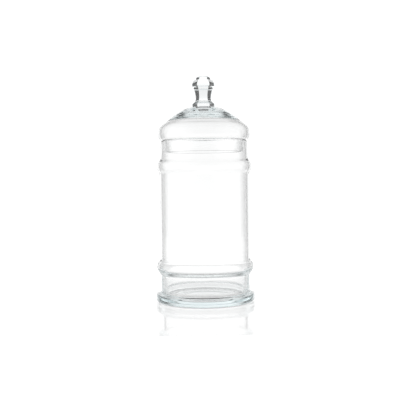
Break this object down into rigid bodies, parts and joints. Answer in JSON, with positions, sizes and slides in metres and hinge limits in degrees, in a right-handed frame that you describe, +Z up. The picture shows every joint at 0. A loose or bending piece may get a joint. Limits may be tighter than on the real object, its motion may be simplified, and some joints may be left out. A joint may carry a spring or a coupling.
{
  "type": "apothecary jar",
  "caption": "Tall round clear glass jar with a flared foot, a raised bead near each end, and a domed lid with a solid six-sided knob whose skirt drops into the neck.",
  "frame": {"origin": "on the jar's axis, in the plane that the foot stands on", "axes": "+Z up along the jar's axis; the knob has one of its flat sides towards -Y"},
  "size_m": [0.1434, 0.1434, 0.327],
  "materials": {
    "jar_glass": "clear glass, polished, faint green where it is thick",
    "lid_glass": "clear glass, polished, faint blue-green in the thick crown and knob"
  },
  "bodies": {
    "jar": {"jar_body": "jar_glass", "jar_foot": "jar_glass"},
    "lid": {"lid_dome": "lid_glass", "lid_knob": "lid_glass"}
  },
  "joints": [
    {"name": "lid_lift", "type": "slide", "parent": "jar", "child": "lid", "axis": [0, 0, 1], "range_m": [0, 0.08]}
  ]
}
